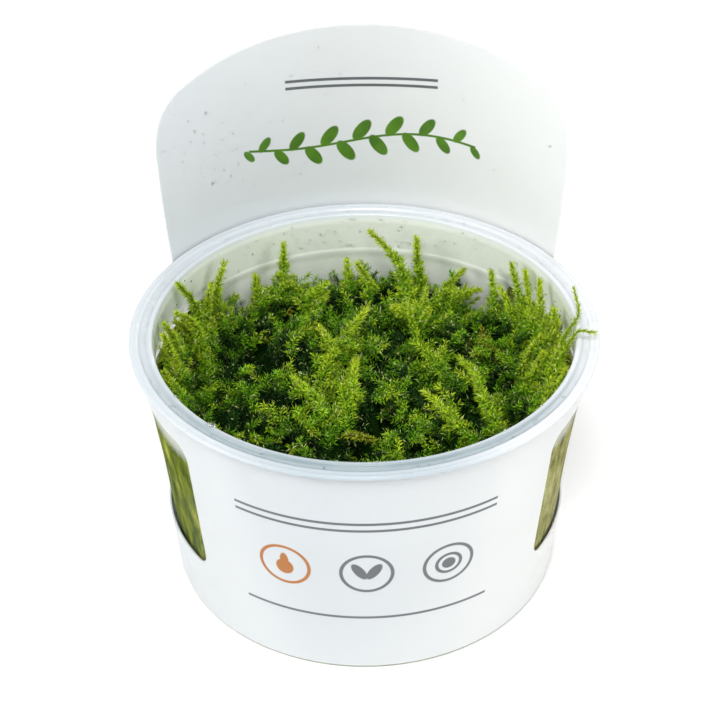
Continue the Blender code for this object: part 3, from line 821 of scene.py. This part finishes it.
def curve(points, spacing=0.5):
    """Evenly spaced points along a smooth curve through the given ones."""
    points = np.asarray(points, float)
    ends = np.vstack([2 * points[0] - points[1], points, 2 * points[-1] - points[-2]])
    t = np.linspace(0, 1, 8, endpoint=False)[:, None]
    parts = []
    for p0, p1, p2, p3 in zip(ends, ends[1:], ends[2:], ends[3:]):
        bend = (2 * p0 - 5 * p1 + 4 * p2 - p3) * t**2 + (3 * p1 - p0 - 3 * p2 + p3) * t**3
        parts.append((2 * p1 + (p2 - p0) * t + bend) / 2)
    dense = np.vstack([*parts, points[-1:]])
    along = np.concatenate([[0], np.cumsum(np.linalg.norm(np.diff(dense, axis=0), axis=1))])
    at = np.linspace(0, along[-1], max(int(along[-1] / spacing), 3) + 1)
    return np.stack([np.interp(at, along, dense[:, axis]) for axis in range(3)], 1), along[-1]


def unit(vectors):
    return vectors / np.maximum(np.linalg.norm(vectors, axis=-1, keepdims=True), 1e-9)


class Growth:
    """Leaves and stems gathered into one set of arrays."""

    def __init__(self, seed):
        self.draw = np.random.default_rng(seed)
        self.parts = []
        self.stems = []

    def plume(self, points, density, length, tone, shade_level=NO_SHADE_LEVEL):
        """A stem with leaves all round it. Density is leaves to the millimetre of stem.

        Tone is freshness and warmth from 0 to 1, with painted shade in the freshness. Leaves below the shade
        level are older and painted darker as shade of the depth.
        """
        path, total = curve(points)
        draw = self.draw
        count = max(int(total * density), 6)
        share = (np.arange(count) + draw.random(count)) / count
        at = share * (len(path) - 1)
        low = np.minimum(at.astype(int), len(path) - 2)
        part = (at - low)[:, None]
        place = path[low] * (1 - part) + path[low + 1] * part
        along = unit(path[low + 1] - path[low])
        side = unit(np.cross(along, np.array([0.31, 0.17, 0.93])))
        over = np.cross(side, along)
        turn = np.arange(count) * GOLDEN_TURN + draw.uniform(-0.4, 0.4, count)
        out = side * np.cos(turn)[:, None] + over * np.sin(turn)[:, None]
        angle = np.radians(LEAF_FOOT_DEG + (LEAF_TIP_DEG - LEAF_FOOT_DEG) * share**2)
        angle = (angle + draw.uniform(-0.32, 0.32, count))[:, None]
        size = np.interp(share, [0, 0.5, 1], LEAF_TAPER) * length * draw.uniform(0.7, 1.25, count)
        # Painted shade: leaves darken with their depth below the shade level.
        fresh_and_shade = np.clip(tone[0] - DEPTH_SHADE_PER_MM * np.maximum(shade_level - place[:, 2], 0.0), 0.0, 1.0)
        tones = np.stack([share, draw.random(count), fresh_and_shade, np.full(count, tone[1])], 1)
        forward = along * np.cos(angle) + out * np.sin(angle)
        face = along * np.sin(angle) - out * np.cos(angle)
        self.parts.append((place, forward, face, size[:, None], tones))
        self.stems.append((path, tone))

    def frond(self, points, branch, density, length, tone, gap, plane=None, narrowing=0.75, shade_level=NO_SHADE_LEVEL):
        """A plume with side plumes, to both sides of it in a plane or else all round it."""
        draw = self.draw
        path, total = curve(points)
        along = unit(np.gradient(path, axis=0))
        self.plume(points, density, length, tone, shade_level)
        first, last = 0.04, 0.86
        count = int(total * (last - first) / gap)
        for index in range(count):
            share = first + (last - first) * (index + draw.uniform(0.0, 0.8)) / count
            at = min(int(share * (len(path) - 1)), len(path) - 2)
            ahead = along[at]
            if plane is None:
                turn = index * GOLDEN_TURN
                side = unit(np.cross(ahead, np.array([math.cos(turn), math.sin(turn), 0.2])))
            else:
                side = unit(np.cross(ahead, plane)) * (1 if index % 2 else -1)
                side = side + np.asarray(plane) * draw.uniform(-0.3, 0.3)
            reach = branch * (1.0 - share) ** narrowing * draw.uniform(0.7, 1.15)
            if reach < 0.8:
                continue
            angle = math.radians(draw.uniform(36, 56))
            out = unit(ahead * math.cos(angle) + side * math.sin(angle))
            middle = path[at] + out * reach * 0.5
            end = path[at] + (out + ahead * 0.15) * reach
            lean = (tone[0] + draw.uniform(-0.12, 0.12), tone[1])
            self.plume([path[at], middle, end], density, length * 0.9, lean, shade_level)


def leafy_mesh(name, growth, chosen=slice(None)):
    """Closed, keeled leaves of four faces each, for the chosen leaves of a growth."""
    place, forward, face, size, tones = (np.concatenate(part)[chosen] for part in zip(*growth.parts))
    draw = np.random.default_rng(len(place))
    across = np.cross(forward, face)
    wide = size * draw.uniform(LEAF_NARROW, LEAF_WIDE, size.shape)
    foot = place + forward * LEAF_GAP
    middle = place + forward * size * LEAF_BELLY + face * size * LEAF_KEEL
    tip = place + forward * size + face * size * draw.uniform(*LEAF_CURL, size.shape)
    points = np.stack([foot, middle + across * wide, middle - across * wide, tip], 1)
    excess = past_wall(points).max(1)
    keep = excess < LEAF_PAST_WALL
    points, excess, tones = points[keep], excess[keep], tones[keep]
    inward = -unit(points[:, 0, :2]) * excess[:, None]
    points[:, :, :2] += inward[:, None]
    points = points.reshape(-1, 3)
    start = (np.arange(len(points) // 4) * 4)[:, None, None]
    faces = (np.array([[0, 2, 1], [1, 2, 3], [0, 1, 3], [0, 3, 2]])[None] + start).reshape(-1, 3)
    return mesh_object(name, points, faces, bpy.data.materials[LEAF_FINISH], leaf=np.repeat(tones, 4, axis=0))


def past_wall(points):
    """How far each point lies past the inside of the cup, 0 for those inside it."""
    height = points[..., 2]
    wall = wall_r(height) - CUP_WALL
    limit = np.where(height > BODY_TOP_Z, np.minimum(wall, LIP_R), wall) - 0.15
    limit = np.where(height > LIP_Z + 0.2, np.inf, limit)
    return np.maximum(np.hypot(points[..., 0], points[..., 1]) - limit, 0.0)


def stem_mesh(name, stems):
    """Three-sided stems along the given lines, narrower towards the tip."""
    points, faces, tones = [], [], []
    for path, tone in stems:
        path = path[::2] if len(path) > 6 else path
        along = unit(np.gradient(path, axis=0))
        side = unit(np.cross(along, [0.31, 0.17, 0.93]))
        over = np.cross(side, along)
        start, count = len(points), len(path)
        for index in range(count):
            thin = STEM_R * (1.0 - 0.6 * index / (count - 1))
            for corner in range(3):
                angle = math.tau * corner / 3
                out = side[index] * math.cos(angle) + over[index] * math.sin(angle)
                points.append(path[index] + out * thin)
                tones.append((0.3 + 0.4 * index / count, 0.4, *tone))
        for index in range(count - 1):
            low = start + index * 3
            for corner in range(3):
                after = (corner + 1) % 3
                faces.append((low + corner, low + after, low + 3 + corner))
                faces.append((low + after, low + 3 + after, low + 3 + corner))
        last = start + (count - 1) * 3
        faces.append((start + 2, start + 1, start))
        faces.append((last, last + 1, last + 2))
    points = np.array(points)
    points[:, :2] -= unit(points[:, :2]) * past_wall(points)[:, None]
    return mesh_object(name, points, faces, bpy.data.materials[LEAF_FINISH], leaf=tones)


def behind_window(angle):
    """1 behind the side windows, where the moss stands higher, and 0 elsewhere."""
    turn = abs(math.degrees(math.remainder(angle, math.tau)) - WINDOW_TURN_DEG)
    front = smooth_step((turn - WINDOW_FRONT_DEG + 8.0) / 6.0)
    return front * (1.0 - smooth_step((turn - WINDOW_BACK_DEG - 2.0) / 6.0))


def make_core(top):
    """The dark depth of the cushion, below the leaves, its top near-black as painted shade. Its side shows
    through the cup.
    """
    draw = np.random.default_rng(CORE_SEED)
    sides = CORE_SIDES
    shoulders = ((37.6, 49.0, 44.6), (37.4, 47.3, 44.95), (37.2, 45.6, 46.5))
    side_heights = (34.0, 27.0, 20.0, 13.0, 6.0, 2.2)
    points = []
    for row in range(CORE_RINGS):
        radius = (MAT_R - 0.2) * (row + 1) / CORE_RINGS
        for x, y, _ in circle(radius, 0.0, sides):
            z = top.z(x * 0.985, y * 0.985) - CORE_DOWN - CORE_HOLLOW * in_hollow(x, y)
            points.append((x, y, z + draw.uniform(-0.9, 0.9)))
    for low_z, high_z, high_r in shoulders:
        low_r = wall_r(low_z) - CUP_WALL - CORE_GAP
        for side in range(sides):
            angle = math.tau * side / sides
            high = behind_window(angle)
            points.append(around(low_r + (high_r - low_r) * high, angle, low_z + (high_z - low_z) * high))
    for z in side_heights:
        points += circle(wall_r(z) - CUP_WALL - CORE_GAP, z, sides)
    end = len(points)
    points += [(0.0, 0.0, side_heights[-1]), (0.0, 0.0, top.z(0.0, 0.0) - CORE_DOWN)]
    faces = closed_faces(range(end - sides, -1, -sides), sides, end, end + 1)
    core = mesh_object("moss_core", points, faces, moss_depth(), smooth=60)
    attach(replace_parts(core, "moss_mat"), "root")


def tone_at(draw, x, y):
    """Freshness and warmth of the moss at a place, with painted shade in the hollows and the low parts."""
    # Painted shade: the freshness falls in the hollows and where the relief is low.
    fresh_and_shade = draw.uniform(0.3, 0.85) + 0.38 * share_of(FRESH_PATCHES, x, y) - 1.6 * in_hollow(x, y)
    fresh_and_shade += 0.35 * relief(x, y)
    warm = draw.uniform(0.0, 0.35) + 0.75 * share_of(WARM_PATCHES, x, y)
    return min(max(fresh_and_shade, 0.0), 1.0), min(warm, 1.0)


def leaning(heading, lean):
    """The way down a plume that leans from upright."""
    out = math.sin(lean)
    return np.array([math.cos(heading) * out, math.sin(heading) * out, -math.cos(lean)])


def grow_tufts(growth, tips):
    """A frond for each tuft of the mat, with its tip at the tuft's tip."""
    draw = growth.draw
    for tip in tips:
        edge = min(math.hypot(tip[0], tip[1]) / MAT_R, 1.0)
        heading = draw.uniform(0, math.tau)
        lean = math.radians(draw.uniform(25, 70) * (1 - edge**4) + draw.uniform(5, 25) * edge**4)
        long = draw.uniform(7.0, 10.5)
        top = tip + np.array([0, 0, draw.uniform(0.2, 1.2) - 4.0 * in_hollow(tip[0], tip[1])])
        foot = top + leaning(heading, lean) * long
        middle = foot * 0.45 + top * 0.55 + np.array([0, 0, long * 0.1])
        plane = unit(np.array([draw.uniform(-0.6, 0.6), draw.uniform(-0.9, 0.3), 1.0]))
        fresh_and_shade, warm = tone_at(draw, tip[0], tip[1])
        tone = (min(fresh_and_shade + 0.15, 1.0), warm)
        size = (draw.uniform(3.0, 4.6), CUSHION_LEAVES, CUSHION_LEAF)
        growth.frond([foot, middle, top], *size, tone, gap=1.0, plane=plane, shade_level=tip[2])


def grow_carpet(growth, top):
    """Short plumes close together over the whole mat, lower in the hollows."""
    draw = growth.draw
    for index in range(CARPET_PLUMES):
        radius = CARPET_R * math.sqrt((index + 0.5) / CARPET_PLUMES)
        turn = index * GOLDEN_TURN
        x = radius * math.cos(turn) + draw.uniform(-0.7, 0.7)
        y = radius * math.sin(turn) + draw.uniform(-0.7, 0.7)
        hollow = in_hollow(x, y)
        surface = top.z(x * 0.98, y * 0.98)
        z = surface + draw.uniform(-2.0, 0.2) - 6.0 * hollow + 1.8 * min(relief(x, y), 0.4)
        flow = 2.2 * math.sin(0.11 * x + 0.6) + 2.0 * math.cos(0.13 * y - 0.4) + draw.uniform(-0.9, 0.9)
        lean = math.radians(draw.uniform(15, 75))
        if radius > 39:
            lean *= 0.35
        long = draw.uniform(4.2, 6.4)
        tip = np.array([x, y, z])
        foot = tip + leaning(flow, lean) * long
        middle = (tip + foot) / 2 + np.array([draw.uniform(-0.5, 0.5), draw.uniform(-0.5, 0.5), long * 0.1])
        growth.plume([foot, middle, tip], CUSHION_LEAVES, CUSHION_LEAF, tone_at(draw, x, y), surface)


def grow_wall(growth):
    """Fresh fronds that lean on the inside of the cup."""
    draw = growth.draw
    for start, end, close, high, low_tone in WALL_GROWTH:
        count = int((end - start) * close)
        for index in range(count):
            share = (index + 0.5) / count
            turn = math.radians(start + (end - start) * share + draw.uniform(-1.5, 1.5))
            z = MAT_EDGE_Z + 5.0 + (high - MAT_EDGE_Z - 5.0) * math.sin(math.pi * share) ** 0.6
            z += draw.uniform(-3.0, 0.8)
            reach = WALL_REACH - draw.uniform(0.0, 3.5)
            foot = around(reach - 4.0, turn + draw.uniform(-0.06, 0.06), z - 7.5)
            line = [foot, around(reach - 1.2, turn, z - 3.5), around(reach, turn, z)]
            tone = (draw.uniform(low_tone, 1.0), 0.1)
            growth.frond(line, 2.2, 9.5, CUSHION_LEAF, tone, gap=0.9, shade_level=z - 3.0)


def grow_marked(growth, top):
    """The bright fronds that lie on the cushion."""
    plane = np.array([0.0, -0.35, 0.94])
    for line, branch in BRIGHT_FRONDS:
        points = [np.array([x, y, max(z, top.z(x, y) + 0.8)]) for x, y, z in line]
        foot = points[0] - (points[1] - points[0]) * 0.3 - np.array([0, 0, 2.5])
        growth.frond([foot, *points], branch, 8.0, 1.9, (1.0, 0.05), gap=0.9, plane=plane)


def make_standing():
    """Leaves and stems of the standing shoots, from the foot of each solid to its tip."""
    standing = Growth(STANDING_SEED)
    names = sorted(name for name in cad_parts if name.startswith("shoot_"))
    for name in names:
        middles, widest = shoot_line(name)
        foot = middles[0] * [0.93, 0.93, 1.0] - [0.0, 0.0, 4.0]
        shade_level = foot[2] + 4.0
        fresh_and_shade, warm = tone_at(standing.draw, *middles[-1][:2])
        tone = (min(max(fresh_and_shade, 0.4) + 0.4, 1.0), warm * 0.6)
        line = [foot, *middles]
        if widest < THIN_SHOOT:
            standing.frond(line, 1.4, 26.0, 1.35, (1.0, 0.1), gap=1.1, narrowing=1.2)
        else:
            branch = 2.0 + 1.8 * widest
            standing.frond(line, branch, 17.0, 1.75, tone, gap=0.8, narrowing=1.4, shade_level=shade_level)
            standing.plume(line, 26.0, 1.8, tone, shade_level)
    shoots = leafy_mesh("standing_shoots", standing)
    stems = stem_mesh("standing_stems", standing.stems)
    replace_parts(shoots, *names)
    for piece in (shoots, stems):
        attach(piece, "root")


def make_cushion(top):
    """Leaves of the cushion, in a middle piece and four round it."""
    mass = Growth(CUSHION_SEED)
    grow_tufts(mass, tuft_tips())
    grow_carpet(mass, top)
    grow_wall(mass)
    grow_marked(mass, top)
    x, y, _ = np.concatenate([part[0] for part in mass.parts]).T
    far = np.hypot(x, y) >= MIDDLE_R
    regions = {
        "middle": ~far,
        "front": far & (y < -np.abs(x)),
        "back": far & (y > np.abs(x)),
        "left": far & (x < 0) & (np.abs(y) <= -x),
        "right": far & (x >= 0) & (np.abs(y) <= x),
    }
    for name, inside in regions.items():
        piece = leafy_mesh("moss_fronds_" + name, mass, inside)
        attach(piece, "root")


# Water


class Beads:
    """Small drops, flattened against the surface that they sit on."""

    def __init__(self, seed):
        self.draw = np.random.default_rng(seed)
        self.points = []
        self.faces = []

    def add(self, place, normal, radius, height, sides):
        """A dome with a flat foot set a little way into the surface."""
        normal = unit(np.asarray(normal, float))
        side = unit(np.cross(normal, [0.2, 0.35, 0.9]))
        over = np.cross(normal, side)
        start = len(self.points)
        turn = np.arange(sides)[:, None] * math.tau / sides
        out = side * np.cos(turn) + over * np.sin(turn)
        for width, rise in ((1.0, -0.12), (0.98, 0.12), (0.8, 0.62), (0.42, 0.93)):
            self.points += list(place + out * radius * width + normal * radius * height * rise)
        end = len(self.points)
        self.points += [place - normal * radius * height * 0.12, place + normal * radius * height]
        self.faces += closed_faces(range(start, end, sides), sides, end, end + 1)


def make_water():
    beads = Beads(WATER_SEED)
    draw = beads.draw
    up = (0.0, 0.0, 1.0)
    for degrees, radius in LIP_DROPS:
        beads.add(around(LIP_R + 0.45, math.radians(degrees), LIP_Z - 0.05), up, radius, 0.7, 12)
    for _ in range(GROOVE_BEADS):
        radius = LIP_R + draw.uniform(GROOVE_IN + 0.1, GROOVE_OUT - 0.4)
        place = around(radius, draw.uniform(-math.pi, math.pi), FLANGE_Z - GROOVE_DEPTH)
        beads.add(place, up, draw.uniform(0.12, 0.32), 0.6, 6)
    for _ in range(WALL_BEADS):
        turn = math.pi + draw.normal(0.0, 0.62)
        place = around(LIP_R - 0.02, turn, draw.uniform(50.5, 58.2))
        beads.add(place, around(-1.0, turn, 0.0), draw.uniform(0.1, 0.32), 0.5, 6)
    for _ in range(HEADER_BEADS):
        across = draw.uniform(-48.0, 48.0)
        if draw.random() > 0.25 + 0.75 * smooth_step((10.0 - across) / 30.0):
            continue
        z = draw.uniform(63.0, 100.0)
        if math.hypot(across, z - HEADER_TOP_Z + HEADER_ARC_R) > HEADER_ARC_R - 2.5:
            continue
        near = ((across, z), (across + 0.5, z), (across, z + 0.5))
        here, beside, above = (np.array(on_header(*place)) for place in near)
        normal = unit(np.cross(beside - here, above - here))
        if normal[1] > 0:
            normal = -normal
        beads.add(here + normal * CARD / 2, normal, draw.uniform(0.12, 0.4) * draw.uniform(0.5, 1.0), 0.2, 7)
    water = mesh_object("water_drops", beads.points, beads.faces, clear_water(), smooth=60)
    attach(water, "root")


# Stage


def make_stage():
    pale = Finish("pale_floor", srgb("#ffffff"), 0.9)
    pale.set("Roughness", pale.spread(pale.noise(3.0), 0.3, 0.7, 0.85, 0.95))
    half = 4000.0
    corners = [(x * half, y * half, -0.02) for x, y in ((-1, -1), (1, -1), (1, 1), (-1, 1))]
    floor = mesh_object("floor", corners, [(0, 1, 2, 3)], pale.material)
    world = bpy.data.worlds.new("studio")
    world.use_nodes = True
    background = world.node_tree.nodes["Background"]
    background.inputs["Color"].default_value = srgb("#ffffff")
    background.inputs["Strength"].default_value = SURROUND
    bpy.context.scene.world = world
    for name, values in LAMPS.items():
        lamp(name, *values)


def lamp(name, place, size, power):
    light = bpy.data.lights.new(name, "AREA")
    light.shape = "SQUARE"
    light.size = size * MM
    light.energy = power
    obj = placed(name, light)
    obj.location = Vector(place) * MM
    aim = Vector((0.0, 0.0, AIM_Z * MM)) - obj.location
    obj.rotation_mode = "QUATERNION"
    obj.rotation_quaternion = aim.to_track_quat("-Z", "Y")


def make_camera():
    camera = bpy.data.cameras.new("camera")
    camera.lens = LENS
    camera.sensor_width = 36.0
    camera.clip_start, camera.clip_end = 0.01, 20.0
    obj = placed("camera", camera)
    back = Vector((0.0, -math.cos(CAMERA_TILT), math.sin(CAMERA_TILT)))
    obj.location = (Vector((-CAMERA_LEFT, 0.0, CAMERA_AIM_Z)) + back * CAMERA_AWAY) * MM
    obj.rotation_euler = (math.pi / 2 - CAMERA_TILT, 0.0, 0.0)
    obj.rotation_euler.rotate_axis("Z", CAMERA_ROLL)
    bpy.context.scene.camera = obj


make_stage()
make_camera()
make_cup()
make_sleeve()
mat_top = MatTop()
make_core(mat_top)
moss_leaf()
make_standing()
make_cushion(mat_top)
make_water()

view = bpy.context.scene.view_settings
view.view_transform = "Standard"
view.look = "None"

bpy.context.view_layer.update()
